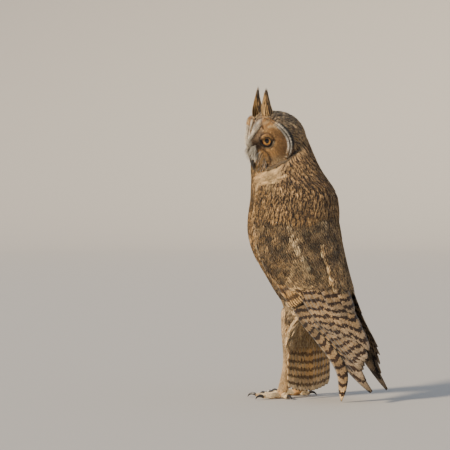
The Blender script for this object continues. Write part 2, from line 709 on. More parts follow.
skin_paint, tree = material("down", Roughness=0.9)
where = object_place(tree)
fluff = noise(where, 260.0, 4.0)
height = node(tree, "ShaderNodeSeparateXYZ", None, where)[2]
body_down = blend(tree, fluff, DARK * 1.2, TAWNY * 0.6)
leg_down = blend(tree, fluff, TAWNY, BUFF * 0.8)
shaded(tree, Base_Color=blend(tree, ramp(height, 0.09, 0.12), leg_down, body_down))
legs = [f"{part}_{side}" for part in ("thigh", "shank", "foot") for side in SIDES.values()]
dress(skin, skin_paint, "plumage", "torso", "neck", "head", "back", *legs)


# %% [markdown]
# ## Laying feathers
# Small feathers are spread by the golden angle, which leaves no rows and no gaps. Each grows from its root
# along its own way, bends round the body as it goes, and rises from the skin towards its tip. It is made of
# a few narrow strands side by side, because a single blade would end in a hard scale.

# %% Spreading and laying
# how many small feathers there are, on each side or toe where there are several
COUNTS = {
    "head": 2900, "disc": 8200, "eyes": 1500, "ruff": 3000, "throat": 1500, "bristles": 2600, "tuft": 34,
    "coverts": 1750, "mantle": 640, "tail coverts": 560, "leg": 820, "toe": 270,
}
GOLDEN_ANGLE = 2.399963
FAN_OPEN, FAN_SHORTER, STRAND_OVERLAP = 0.78, 0.24, 1.5
# share along a feather, its width there
NARROW = np.array([(0, 0.5), (0.3, 1.0), (0.6, 0.8), (0.85, 0.4), (1, 0.08)])


def golden(count):
    """Evenly spread pairs: a share from 0 to 1, and a turn that grows by the golden angle each time."""
    index = np.arange(count)
    return (index + 0.5) / count, index * GOLDEN_ANGLE % TURN


def even_share(weights, share):
    """Shares moved so that they fall as thickly as the weights say."""
    total = np.concatenate([[0], np.cumsum(weights)])
    return np.interp(share, total / total[-1], np.linspace(0, 1, len(total)))


def scattered(ways, amount):
    """The ways, each turned a little at random."""
    return ways + bell(ways.shape) * amount


def strands(name, path, up, half_width, looks, places, fan, form=NARROW):
    """Feathers as fans of narrow strands, so that their ends look soft.

    Strand q, from -1 to 1 across the feather, runs beside the shaft at q times the half width, which
    opens from 0.3 at the root to 1. It ends at 1 - 0.24 q q of the feather's length."""
    count, stations = path.shape[:2]
    q = np.linspace(-1, 1, fan) if fan > 1 else np.zeros(1)
    reach, share = 1 - FAN_SHORTER * q**2, np.linspace(0, 1, stations)
    at = share[None] * reach[:, None] * (stations - 1)
    low = np.minimum(at.astype(int), stations - 2)
    part = (at - low)[None, ..., None]
    lines = path[:, low] * (1 - part) + path[:, low + 1] * part
    ups = unit(up[:, low] * (1 - part) + up[:, low + 1] * part)
    across = unit(np.cross(ups, np.gradient(lines, axis=2)))
    open_out = 0.3 + 0.7 * np.minimum(1, share * reach[:, None] / 0.45)
    half_width = np.broadcast_to(half_width, count)[:, None, None]
    span = STRAND_OVERLAP / max(fan, STRAND_OVERLAP)
    beside = (q[:, None] * open_out)[None] * (half_width * FAN_OPEN) * (1 + bell((count, fan, 1)) * 0.12)
    lines = lines + across * beside[..., None]
    wide = half_width * span * smooth(share, form)[:, 0] * np.ones((1, fan, 1))
    lines, ups, wide = (part.reshape(count * fan, *part.shape[2:]) for part in (lines, ups, wide))
    looks = {key: np.repeat(np.broadcast_to(value, (count, 3)), fan, 0) for key, value in looks.items()}
    return feather_mesh(name, lines, ups, wide, wide * 0.16 + 0.05, SMALL_SECTION, np.repeat(places, fan, 0),
                        looks, np.tile(reach, count), np.tile(q * FAN_OPEN, count), span)


def sunk(share, sink, rise):
    """A feather's height over the surface, from minus sink at the root to rise at the tip."""
    return -sink * (1 - share) ** 1.6 + rise * share


def plumes(name, roots, ups, ways, length, half_width, looks, places, bend=45.0, sink=3.0, rise=0.2,
           stations=4, fan=1):
    """Small feathers over a rounded surface.

    At distance s along its way, a feather lies at root + way s - up s s / (2 bend) + up h, where h is its
    height over the surface."""
    share = np.linspace(0, 1, stations)
    ways = unit(ways - ups * np.einsum("ij,ij->i", ways, ups)[:, None])
    length, bend, rise = (np.broadcast_to(value, len(roots))[:, None] for value in (length, bend, rise))
    reach = length * share
    height = sunk(share, sink, rise) - reach**2 / (2 * bend)
    path = roots[:, None] + ways[:, None] * reach[..., None] + ups[:, None] * height[..., None]
    up = unit(ups[:, None] + ways[:, None] * (reach / bend)[..., None])
    return strands(name, path, up, half_width, looks, places, fan)


def lay(name, surface, roots, heading, length, half_width, looks, places, outside=1.0, sink=3.0, rise=0.3,
        stations=5, fan=5, mirror=1):
    """Feathers that follow a surface of two numbers. The heading is in millimetres along each of the two.

    It is divided by the surface's stretch, the length of its slope, to give the steps in the numbers
    themselves."""
    a, b = roots[:, 0], roots[:, 1]
    stretch = columns(*(np.linalg.norm(slope, axis=-1) for slope in slopes(surface, a, b))) / (2 * SMALL)
    ways = unit(heading) / np.maximum(stretch, 1e-6)
    share = np.linspace(0, 1, stations)
    length, rise = (np.broadcast_to(value, len(roots))[:, None] for value in (length, rise))
    at = roots[:, None] + ways[:, None] * (length * share)[..., None]
    up = facing(surface, at[..., 0], at[..., 1], outside)
    path = surface(at[..., 0], at[..., 1]) + up * sunk(share, sink, rise)[..., None]
    turned = np.array([mirror, 1, 1])
    return strands(name, path * turned, up * turned, half_width, looks, places, fan)


# %% [markdown]
# ## Trunk and neck
# On the breast and belly each feather has a dark streak with side branches on a golden ground. The nape and
# the mantle carry bolder streaks. At the sides of the neck the feathers are plain buff, in uneven patches,
# because straight edges between two colours never look like plumage.

# %% Trunk plumage
SHOULDER_RISE, SHOULDER_TOP = 7.0, 252


def shoulders(turn, rise):
    """The trunk, swollen outwards at the sides and the back, over the tops of the wings, and less above."""
    swell = SHOULDER_RISE * step(282, 246, rise) * step(0.62, 0.3, np.cos(turn))
    return trunk(turn, rise) + columns(np.sin(turn), -np.cos(turn), 0.0) * swell[..., None]


def trunk_looks(turn, rise):
    """Colours of the trunk's feathers by their place, from breast to back and from belly to neck."""
    count = len(turn)
    beside = np.abs(np.abs(turn - math.pi) - (math.pi - 1.45))
    where = trunk(turn, rise)
    uneven = drifts(where, 9.0, 21) - 0.5
    belly, neck = step(165, 120, rise + 20 * uneven), step(260, 282, rise + 40 * uneven)
    plain = neck * step(0.7, 0.2, beside + 0.9 * uneven)
    nape = step(0.15, -0.4, np.cos(turn)) * step(225, 250, rise)
    shadow = step(0.52, 0.66, drifts(where, 6.0, 3)) * (0.5 + 0.3 * nape) * (1 - plain)
    ground = layered(GOLD, (0.4 * even(count), OCHRE), (belly * 0.6, CREAM), (plain * 0.9, BUFF),
                     (nape * 0.3, GREY), (shadow, BROWN))
    mark = layered(DARK, (belly * 0.3, BROWN), (plain * 0.5, BROWN))
    edge = layered(BUFF, (0.6 * even(count), CREAM), (nape * 0.5, GOLD))
    streak = np.clip(0.17 - 0.06 * belly - 0.2 * plain + 0.1 * nape + 0.07 * bell(count), 0.0, 0.6)
    return looks_of(count, ground, mark, edge, streak, 2.4, 0.6 * (1 - plain) * (1 - 0.8 * nape),
                    0.5 * (1 - plain * 0.9), 0.7, 0.16)


def trunk_coat(name, surface, count, low, high, length, half_width, stations, rise, least, most):
    """One belt of the trunk's coat, between two heights, where cos turn lies between the least and the most.

    Over the shoulders, where no wing covers the trunk, the least doesn't count. Down the belt the tips stand
    off more and more, from 0.3 to the rise."""
    share, turn = golden(count)
    height, front = low + (high - low) * share, np.cos(turn)
    turn, height = picked((front < most) & ((front > least) | (height > SHOULDER_TOP)), turn, height)
    heading = columns(0.12 * bell(len(turn)), -1.0)
    size = 1 + 0.1 * bell(len(turn))
    places = columns(turn / TURN, (height - TORSO_BOTTOM) / 200)
    lifted = 0.3 + (rise - 0.3) * step(high, 0.7 * low + 0.3 * high, height)
    return lay(name, surface, columns(turn, height), heading, length * size, half_width * size,
               trunk_looks(turn, height), places, rise=lifted, stations=stations)


# name, surface, count, lowest and highest root, length, half width, stations, rise, least and most cos turn,
# and slot
BELTS = (
    ("belly_feathers", trunk, 1500, 130, 180, 20, 5.4, 4, 0.3, -0.1, 2, "breast"),
    ("flank_feathers", trunk, 460, 114, 138, 27, 5.4, 5, 5.0, -0.2, 2, "breast"),
    ("breast_feathers", trunk, 1300, 180, 262, 17, 4.8, 5, 0.3, -0.1, 2, "breast"),
    ("neck_feathers", shoulders, 1350, 256, 311, 16, 3.9, 5, 0.3, -2, 2, "plumage"),
    ("cape_feathers", shoulders, 900, 230, 258, 18, 4.8, 5, 0.3, -2, 0.45, "plumage"),
)
for *belt, slot in BELTS:
    dress(trunk_coat(*belt), PLUMAGE, slot)

# %% [markdown]
# ## Crown and nape
# The feathers of the head start behind the rim of the face and run back over the crown, and then down the
# nape.

# %% Head plumage
def head_coat():
    """Feathers over the crown, the sides and the back of the head, down to where the neck cuts it."""
    share, around = golden(COUNTS["head"])
    turn = 0.55 + (math.pi - 0.6) * even_share(np.sin(np.linspace(0.55, math.pi - 0.05, 60)), share)
    roots = skull(turn, around)
    ahead, left, up = head_parts(roots)
    over_cut = up > CHIN_UP + (CHIN_FORWARD - ahead) * math.tan(NAPE_SLOPE) - 6
    chosen = over_cut & (ahead < RIM_FORWARD + 12 * step(20, 34, up))
    turn, around, roots, ahead, left, up = picked(chosen, turn, around, roots, ahead, left, up)
    ups = facing(skull, turn, around)
    ups *= np.sign(np.einsum("ij,ij->i", ups, roots - HEAD_CENTRE))[:, None]
    behind, down, crown = step(5, -40, ahead), step(30, -10, up), step(18, 32, up)
    ways = head_direction(-1.0, 0.25 * left / HEAD_HALF_WIDTH, -0.3 - 1.5 * behind - 0.9 * down)
    count = len(turn)
    size = (1 + 0.12 * bell(count)) * (1 - 0.2 * crown * step(-10, 15, ahead))
    ground = layered(GOLD, (0.5 * even(count), GREY), (0.4 * behind, BUFF), (0.3 * crown, CREAM),
                     (0.8 * (even(count) > 0.72), BROWN))
    looks = looks_of(count, ground, DARK, layered(BUFF, (0.6 * crown, CREAM)),
                     np.clip(0.17 + 0.1 * bell(count), 0.0, 0.5), 2.5, 0.5 * crown, 0.5, 0.75, 0.2)
    return plumes("head_feathers", roots, ups, scattered(ways, 0.1), 13.0 * size, 3.1 * size, looks,
                  columns(turn / math.pi, around / TURN), bend=38.0, fan=3,
                  rise=0.4 + 1.3 * crown * even(count), sink=2.6)


dress(head_coat(), PLUMAGE, "plumage")

# %% [markdown]
# ## The face
# Stiff narrow feathers stand in rays round each eye and make the disc. Their colour follows their place:
# dark in front of the eye, tawny to the sides, a white rim with a black edge on the outside. The places of
# these marks were measured on the photo, in millimetres, because an owl's face is known by them.

# %% Facial disc
# The white arms of the X start at the foot's height and lean out by the slope
ARM_FOOT, ARM_SLOPE, ARM_WIDTH = 8.5, 0.57, 2.4
# The dark line above an arm stands this far out at this height, and nearer by the slope above it
BROW_LINE_OUT, BROW_LINE_UP, BROW_LINE_SLOPE = 15, 17.4, 0.33
# The dark fold beside the bill: heights, and how far out it lies there
FOLD_UP, FOLD_OUT = (-23, -18, -13, -6, 0), (6.5, 12.9, 16.3, 15.2, 12.0)
STRIPES_UP, STRIPES_OUT = 1.7, 0.5
EYE_MARGIN = 10.15


def disc_colours(left, up):
    """Ground and mark of the face at each place: tawny rays, dark eye corners, white X, buff below."""
    near = np.abs(left)
    reach = np.hypot(left, up) / np.hypot(*disc_outline(np.arctan2(up, near)))
    outer, lower = step(0.55, 0.85, reach) * step(20, 8, up), step(-6, -16, up)
    line = ARM_SLOPE * np.maximum(up - ARM_FOOT, 0)
    arm = hump(near - line, ARM_WIDTH) * step(-6, 2, up) * step(29, 23, up)
    wedge = step(1.5, -1.5, near - line) * step(10, 14, up)
    over = BROW_LINE_OUT - BROW_LINE_SLOPE * (up - BROW_LINE_UP)
    brow_line = hump(near - over, 1.1) * step(15, 18, up)
    hollow = step(line + 1.5, line + 4, near) * step(over + 0.5, over - 2.5, near) * step(-3, 2, up)
    corner = np.exp(-((((near - 8.6) / 4.2) ** 2 + ((up - 3.2) / 3.8) ** 2) ** 2))
    lore = step(8, 3, near) * step(4, -4, up) * step(-17, -11, up)
    fold = hump(near - np.interp(up, FOLD_UP, FOLD_OUT), 1.2) * step(-25, -22, up) * step(1, -3, up)
    beard = step(16.5, 13.5, near) * step(-9, -14, up)
    chin = hump(near - 13, 3.2) * hump(up + 24, 4)
    stripes = step(0.1, 0.7, np.sin(up * STRIPES_UP + near * STRIPES_OUT)) * beard
    rim = step(0.9, 0.94, reach) * step(-15, -7, up) * step(24, 32, near)
    edge = step(0.93, 0.97, reach) * (1 - rim)
    speckle = even(len(left))
    above = step(12, 18, up)
    lit = (drifts(columns(left, up), 1.6, 5) > 0.5) * above
    ground = layered(
        GOLD, (0.45 * speckle, TAWNY), (0.9 * lit, BUFF), (0.4 * (1 - lit) * above, TAWNY),
        (outer * 0.75, BROWN), (lower * 0.9, BUFF), (lower * 0.6 * speckle, CREAM), (hollow * 0.75, ASH),
        (hollow * step(12, 3, up) * 0.6, DARK), (corner * 0.97, BLACK), (brow_line * 0.8, DARK),
        (beard * 0.5, GOLD), (stripes * 0.8, BLACK), (fold * 0.9, BLACK),
        (wedge * np.where(speckle > 0.55, 0.9, 0.25), BROWN),
        (wedge * 0.85 * (speckle < 0.3), CREAM), (arm * 0.97, WHITE), (lore * 0.75, GREY),
        (chin * 0.85, WHITE), (rim * 0.95, WHITE), (edge * np.where(speckle < 0.85, 0.95, 0.3), BLACK),
    )
    mark = layered(BROWN, (lower * 0.4, TAWNY), (edge, BLACK), (arm * 0.9, GREY), (rim * 0.9, CREAM))
    return ground, mark


def on_face(left, up):
    """The places on the coat's map for roots on the face."""
    return columns(left / 90 + 0.5, up / 90 + 0.5)


def disc_coat():
    """Rays of feathers over the disc, one fan round each eye, and away from the middle between the two."""
    share, around = golden(COUNTS["disc"])
    reach = np.sqrt(share) * 0.985
    left, up = (part * reach for part in disc_outline(around))
    eye_at = eye_axes(np.where(left > 0, 1.0, -1.0))[0]
    chosen = np.linalg.norm(columns(face_depth(left, up), left, up) - eye_at, axis=-1) > EYE_MARGIN
    left, up, reach = picked(chosen, left, up, reach)
    side, past_eye, over_eye = np.sign(left), np.abs(left) - EYE_SIDE, up - EYE_UP
    middle = step(7, 2, np.abs(left))
    ways = head_direction(0.0, side * past_eye * (1 - middle) + side * 3 * middle,
                          over_eye * (1 - middle) + 9 * middle * np.sign(up))
    ground, mark = disc_colours(left, up)
    length = 4.8 + 3.6 * step(9, 24, np.hypot(past_eye, over_eye)) - 1.5 * step(0.85, 1.0, reach)
    looks = looks_of(len(left), ground, mark, ground * 1.25, 0.08, 2.0, 0.22, 0.2, 0.7, 0.24)
    return plumes("disc_feathers", face(left, up), face_up(left, up), scattered(ways / 10, 0.07), length, 0.5,
                  looks, on_face(left, up), bend=60.0, sink=1.6, rise=0.7)


dress(disc_coat(), PLUMAGE, "face", "facial_disc")

# %% [markdown]
# The disc alone would leave a bare ring round each eye. The feathers on the lids close it, and those of the
# brow give the owl its look: they shade the top of the eye.

# %% Round the eyes
BROW_FROM, BROW_SPAN = math.radians(150), math.radians(135)


def eye_coat():
    """Small feathers on the lids: rays all round the eye, and a brow over its top to the outer corner.

    A root lies on the ball at its turn about the line of sight and its angle away from it. Two in five
    are the brow's. The rays leave the inner corner free, which is bare and black."""
    index = np.arange(COUNTS["eyes"])
    side, brow, count = 1.0 - 2.0 * (index % 2), index % 5 < 2, len(index)
    turn = np.where(brow, BROW_FROM - BROW_SPAN * even(count), TURN * even(count))
    outer, high = np.cos(turn), np.sin(turn)
    inner = step(-0.55, -0.9, outer)
    degrees = np.where(brow, 34 + 15 * even(count), 45 + 12 * inner + 16 * even(count))
    degrees = degrees - 5 * np.maximum(high, 0) * ~brow
    keep = brow | (inner < 0.5)
    turn, outer, high, degrees, side, brow = picked(keep, turn, outer, high, degrees, side, brow)
    count, polar = len(turn), np.radians(degrees)
    centre, sight, level = eye_axes(side)
    upright = np.array([0, 0, 1.0])
    away = level * outer[:, None] + upright * high[:, None]
    out = sight * np.cos(polar)[:, None] + away * np.sin(polar)[:, None]
    radius = np.where(brow, 10.9 + 0.9 * step(34, 48, degrees), 10.5)
    roots = head_frame(*apart(centre + out * radius[:, None]))
    ways = head_direction(*apart(np.where(brow[:, None], level - 0.55 * upright, away + 0.25 * level)))
    ground = layered(
        GOLD, (0.5 * even(count), TAWNY), (0.9 * step(0.1, -0.3, high) * step(53, 46, degrees), CREAM),
        (0.75 * step(0.1, 0.5, high) * ~brow, BROWN), (0.95 * step(41, 35, degrees) * brow, BLACK),
        (0.9 * step(0.75, 0.97, outer) * brow, BLACK), (0.95 * step(-0.2, -0.6, outer) * ~brow, BLACK),
        (0.9 * step(-0.6, -0.85, outer) * brow, DARK))
    looks = looks_of(count, ground, BROWN, ground * 1.15, 0.08, 2.0, 0.2, 0.2, 0.6, 0.15)
    return plumes("eye_feathers", roots, unit(head_direction(*apart(out))), scattered(ways, 0.08),
                  np.where(brow, 4.6, 6.0), 0.42, looks, columns(turn / TURN, polar / math.pi),
                  bend=np.where(brow, 13.0, 20.0), sink=0.5, rise=np.where(brow, 0.35, 0.6))


dress(eye_coat(), PLUMAGE, "face")

# %% [markdown]
# The rim is a ruff of small stiff feathers that stand behind the disc's edge, white inside and black
# outside at the sides, and spotted ochre above and below. Under the chin the ruff meets the neck, and
# longer feathers that grow on the neck's top bend over its rim, so that no gap shows between head and neck.

# %% Ruff, throat and bristles
def ruff():
    """Rows of short feathers round the disc that turn from facing forward to lying back along the head."""
    share, around = golden(COUNTS["ruff"])
    count = len(around)
    wide, tall = disc_outline(around)
    out = 0.94 + 0.1 * share
    left, up = wide * out, tall * out
    below = step(-0.3, -0.8, np.sin(around))
    depth = face_depth(wide * 0.96, tall * 0.96) + RIM_HEIGHT * np.sin(share * math.pi * 0.8)
    depth = depth - (5.5 + 9 * below) * share**2
    _, level, upright = apart(unit(columns(0.0, left, up)))
    ups = unit(head_direction(1.0 - 0.8 * share, level * (0.4 + share), upright * (0.4 + share)))
    ways = head_direction(-0.6 - 0.8 * share, level, upright)
    high = step(-0.45, -0.1, np.sin(around)) * step(0.55, 0.82, np.abs(np.cos(around)))
    brow = (1 - high) * step(0.2, 0.6, np.sin(around))
    outer, spots = step(0.32, 0.45, share), even(count)
    ground = layered(
        OCHRE, (0.4 * spots, GOLD), (high * (1 - outer), WHITE), (high * outer, BLACK),
        ((1 - high) * 0.9 * (spots > 0.62), BLACK), ((1 - high) * 0.8 * (spots < 0.2), CREAM),
        (step(0.75, 0.95, share) * 0.6 * (1 - high), BROWN), (brow * np.where(spots > 0.3, 0.9, 0.2), DARK))
    looks = looks_of(count, ground, DARK, layered(ground, (high, BLACK)), 0.15, 2.0, 0.4 * (1 - high),
                     0.4 * (1 - high), 0.3 + 0.7 * high)
    return plumes("ruff_feathers", head_frame(depth, left, up), ups, scattered(ways, 0.08),
                  4.4 + 2.6 * share + 5.0 * below, 0.9, looks, columns(around / TURN, share), bend=30.0,
                  sink=1.6, rise=0.3)


def throat():
    """Boldly spotted ochre feathers that grow under the disc and bend over the rim of the neck."""
    share, turn = golden(COUNTS["throat"])
    top = TORSO_TOP + NECK_SPAN - 3
    ring = trunk(turn, top)
    middle = trunk(np.linspace(0, TURN, 60, endpoint=False), top).mean(axis=0)
    ring, share, turn = picked(head_parts(ring)[0] > -8, ring, share, turn)
    count, inside, radial = len(turn), 0.36 * share[:, None], unit(ring - middle)
    over = unit(head_direction(math.sin(NAPE_SLOPE), 0.0, math.cos(NAPE_SLOPE)))
    roots = ring + (middle - ring) * inside
    ups = unit(over * (0.35 + 1.8 * inside) + radial * 0.6)
    ways = radial + np.array([0, 0, -0.8]) + over * (0.8 * inside)
    spots, plain = even(count), step(12, 2, np.abs(head_parts(roots)[1]))
    ground = layered(GOLD, (0.5 * spots, OCHRE), (0.92 * (spots > 0.7) * (1 - 0.6 * plain), BLACK),
                     (0.8 * (spots < 0.25), CREAM))
    looks = looks_of(count, ground, BLACK, layered(BUFF, (0.5, GOLD)), 0.2, 1.4, 0.6, 0.3, 0.7, 0.14)
    return plumes("throat_feathers", roots, ups, scattered(ways, 0.1), 10.0 + 2.0 * even(count), 2.2, looks,
                  columns(turn / TURN, share), bend=9.0, sink=1.0, rise=1.2, fan=3, stations=5)


def bristles():
    """Fine bristles: white arms that rise between the eyes, grey ones beside the bill, and a beard below it.

    The beard and the bristles beside the bill fall by a share of the square of their length."""
    count = COUNTS["bristles"]
    side, kind = 1.0 - 2.0 * (np.arange(count) % 2), even(count)
    beard, lore = kind > 0.55, (kind > 0.4) & (kind <= 0.55)
    arms = ~beard & ~lore

    def by_kind(for_beard, for_lore, for_arms):
        """One of three values for each bristle."""
        return np.select([beard, lore], [for_beard, for_lore], for_arms)

    along, spread = even(count), bell(count)
    up = by_kind(-23 + 19 * along, -11 + 14 * along, -2 + 27 * along)
    arm = 0.9 + ARM_SLOPE * np.maximum(up - ARM_FOOT, 0) + 0.9 * np.abs(spread)
    left = side * np.clip(by_kind(4.0 + 7.5 * even(count), 3.2 + 3.5 * even(count), arm), 0.4, 30)
    ups = face_up(left, up)
    ways = head_direction(by_kind(0.62, 0.9, 0.75), by_kind(-0.5, 0.1, 0.42) * side,
                          by_kind(-0.85, -0.45, 0.62))
    shade = even(count)
    stripe = beard & (np.sin(up * STRIPES_UP + spread) > 0.1)
    ground = layered(WHITE, (shade * 0.35, CREAM), (0.9 * beard, GOLD), (0.95 * stripe, BLACK),
                     (0.9 * (beard & (shade < 0.2)), WHITE), (0.7 * (lore & (shade > 0.6)), ASH),
                     (0.8 * (arms & (shade > 0.86)), BROWN))
    looks = looks_of(count, ground, GREY, ground, rim=0.3)
    length = by_kind(10.5, 8.2, 5.4) + 1.2 * bell(count).clip(-1.5, 1.5)
    reach = length[:, None] * np.linspace(0, 1, 5)
    fall = by_kind(0.032, 0.04, 0.0)[:, None] * reach**2
    path = face(left, up)[:, None] + unit(scattered(unit(ways), 0.12))[:, None] * reach[..., None]
    path = path - np.array([0, 0, 1.0]) * fall[..., None] - ups[:, None] * 0.5
    ups = np.broadcast_to(ups[:, None], path.shape)
    return strands("bristles", path, ups, 0.24, looks, on_face(left, up), 1)


for coat in (ruff, throat, bristles):
    dress(coat(), PLUMAGE, "face")

# %% [markdown]
# ## Ear tufts
# Each tuft is a bunch of long narrow feathers, dark along the middle with pale edges, the longest in the
# middle.

# %% Ear tufts
TUFT_FORWARD, TUFT_SIDE, TUFT_TIP_UP, TUFT_LEAN, TUFT_SPREAD = 7.8, 10.5, 72.5, -7.1, -2.5
TUFT_RADIUS = 7.4
TUFT_FORM = np.array([(0, 0.8), (0.3, 1.0), (0.65, 0.85), (0.9, 0.4), (1, 0.08)])


def head_top(ahead, left):
    """Height of the crown over the head's centre."""
    share = np.clip(ahead / HEAD_FRONT, 0, 1) ** 1.25
    reach = np.sqrt(1 - share**2) ** 0.85
    return HEAD_HALF_HEIGHT * reach * np.sqrt(np.maximum(1 - (left / (HEAD_HALF_WIDTH * reach)) ** 2, 0))


def tuft(side):
    """The feathers of one tuft, each a line from the crown to near the tip, leaning as the tuft does."""
    count, stations = COUNTS["tuft"], 12
    share, turn = golden(count)
    reach = np.clip(1.0 - 0.66 * share**0.8 + 0.06 * bell(count), 0.22, 1.0)
    s = np.linspace(0, 1, stations)[None, :] * reach[:, None]
    away = TUFT_RADIUS * np.sqrt(share)[:, None] * (1 - 0.68 * s**0.8)
    level, aside = away * np.cos(turn)[:, None], away * np.sin(turn)[:, None] * 0.85
    root = head_top(TUFT_FORWARD + level, side * TUFT_SIDE + aside) - 1.5
    path = head_frame(TUFT_FORWARD + TUFT_LEAN * s + level + 1.2 * np.sin(s * math.pi),
                      side * (TUFT_SIDE + TUFT_SPREAD * s) + aside, root * (1 - s) + TUFT_TIP_UP * s)
    out = unit(head_direction(np.cos(turn) * 0.35, side * (0.6 + 0.5 * np.abs(np.sin(turn))), 0.15))
    pale = even(count)
    core = hump(np.cos(turn) * np.sqrt(share), 0.6)
    looks = looks_of(count, layered(GOLD, (pale * 0.5, BUFF), (core * 0.5, BROWN)), DARK,
                     layered(GOLD, (pale * 0.7, BUFF)), 0.2 + 0.36 * core, 2.0, 0.2, 0.3, 0.9)
    return strands(f"tuft_feathers_{SIDES[side]}", path, np.broadcast_to(out[:, None], path.shape),
                   2.9 - 0.6 * share, looks, columns(turn / TURN, share), 5, TUFT_FORM)


for side in SIDES:
    dress(tuft(side), PLUMAGE, "tuft", f"ear_tuft_{SIDES[side]}")

# %% [markdown]
# ## The wings
# The folded wing is laid in rows, as on the bird: primaries and secondaries first, then the coverts over
# their roots, each row shorter than the one below it. The rows lie on the wing's surface between two
# places. Flight feathers are few and long, so each is one broad blade and not a fan of strands.

# %% Wing feathers
# count, first and last root, first and last tip, as station and share across; half width
TIERS = {
    "primary": (8, (0.58, 0.07), (0.60, 0.50), (1.0, 0.12), (0.93, 0.78), 6.6),
    "secondary": (9, (0.44, 0.30), (0.42, 0.86), (0.83, 0.40), (0.90, 0.92), 7.0),
    "tertial": (3, (0.34, 0.72), (0.32, 0.93), (0.76, 0.72), (0.74, 0.93), 8.5),
    "primary_covert": (7, (0.44, 0.04), (0.42, 0.26), (0.68, 0.05), (0.65, 0.30), 4.6),
    "greater_covert": (12, (0.38, 0.20), (0.34, 0.92), (0.60, 0.24), (0.58, 0.94), 6.4),
}
# ground, mark, edge, streak, bars, strength of the bars, flecks
BARRED_EDGE = layered(ASH, (0.6, GREY))
SECONDARY_LOOKS = (layered(ASH, (0.45, GOLD)) * 0.85, DARK, BARRED_EDGE, 0.04, 10.0, 1.0, 0.7)
TIER_LOOKS = {
    "primary": (layered(ASH, (0.4, GOLD)) * 0.8, DARK, BARRED_EDGE, 0.0, 12.0, 1.0, 0.6),
    "secondary": SECONDARY_LOOKS,
    "tertial": SECONDARY_LOOKS,
    "primary_covert": (layered(GOLD, (0.4, BROWN)), DARK, layered(BUFF, (0.4, GOLD)), 0.2, 5.0, 0.9, 0.6),
    "greater_covert": (layered(ASH, (0.55, GOLD)), DARK, BUFF, 0.14, 5.0, 0.7, 0.6),
}
FLYING = {"primary", "secondary", "tertial"}
# share along a flight feather or a covert, then its lift over the wing
FLIGHT_LIFT = np.array([(0, -4.4), (0.3, -1.6), (0.7, -0.5), (0.93, 0), (1, 0.1)])
COVERT_LIFT = np.array([(0, -4.4), (0.45, -1.4), (0.85, -0.4), (1, -0.2)])
# share along a vane, its width there
VANE = np.array([(0, 0.35), (0.15, 0.75), (0.4, 1.0), (0.82, 0.98), (0.93, 0.82), (0.98, 0.5), (1, 0.3)])
POINTED_VANE = np.array([(0, 0.35), (0.15, 0.75), (0.4, 1.0), (0.8, 0.95), (0.93, 0.55), (1, 0.08)])
# share along the drooping primary, then x, y, height
DROOPING = np.array([(0, 39, 22, 102), (0.35, 36, 52, 74), (0.7, 29, 76, 38), (1, 24, 72.5, 1.5)], float)
VANE_LEAN, VANE_RIDGE, VANE_THICK = 0.15, 0.07, 0.25


def vanes(name, path, up, half_width, form, thin, thick, places, looks):
    """Broad blades, whose ridge is a share of their width and a little more."""
    wide = half_width * smooth(np.linspace(0, 1, path.shape[1]), form)[None, :, 0] * np.ones((len(path), 1))
    return feather_mesh(name, path, up, wide, wide * thin + thick, BROAD_SECTION, places, looks)


def leaning(up, path, amount):
    """The ups, leant sideways, so that each vane lies over the edge of the next."""
    return unit(up + amount * unit(np.cross(up, np.gradient(path, axis=1))))


def wing_row(tier, side):
    """One row of wing feathers as a mesh."""
    count, *ends, half_width = TIERS[tier]
    flying = tier in FLYING
    along = np.linspace(0, 1, 26 if flying else 14)
    spread, share = np.linspace(0, 1, count)[:, None, None], along[None, :, None]
    first_root, last_root, first_tip, last_tip = np.array(ends)
    root = first_root * (1 - spread) + last_root * spread
    tip = first_tip * (1 - spread) + last_tip * spread
    tip = tip + columns(0.012 * bell(count), 0.0)[:, None].clip(-0.02, 0)
    at = root * (1 - share) + tip * share
    lift = smooth(along, FLIGHT_LIFT if flying else COVERT_LIFT)[None, :, 0]
    up = facing(wing, at[..., 0], at[..., 1])
    path = wing(at[..., 0], at[..., 1]) + up * lift[..., None]
    mirror = np.array([side, 1, 1])
    return vanes(f"{tier}_{SIDES[side]}", path * mirror, leaning(up, path, VANE_LEAN) * mirror, half_width,
                 VANE, VANE_RIDGE, VANE_THICK, at[:, 0], looks_of(count, *TIER_LOOKS[tier]))


def drooping_primary():
    """The outermost primary of the left wing, which hangs free of the fold."""
    path = smooth(np.linspace(0, 1, 30), DROOPING)[None]
    up = np.broadcast_to(facing(wing, np.array([0.8]), np.array([0.1])), path.shape)
    looks = looks_of(1, layered(ASH, (0.35, GOLD)) * 0.7, DARK, BUFF, 0.0, 11.0, 1.0, 0.6, 0.8)
    return vanes("drooping_primary", path, up, 6.8, POINTED_VANE, VANE_RIDGE, VANE_THICK,
                 np.array([[0.5, 0.5]]), looks)


for side in SIDES:
    for tier in TIERS:
        made = wing_row(tier, side)
        dress(made, FLIGHT if tier in FLYING else PLUMAGE, "wing")
    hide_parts(f"wing_{SIDES[side]}")
dress(drooping_primary(), FLIGHT, "wing")

# %% [markdown]
# The rest of the wing is soft: scapulars and coverts lie over one another without clear rows. A pale line
# runs along the outer edge of the scapulars, and a second one along their inner edge. Both are given as
# places on the wing, and every feather that ends near one of them is pale.

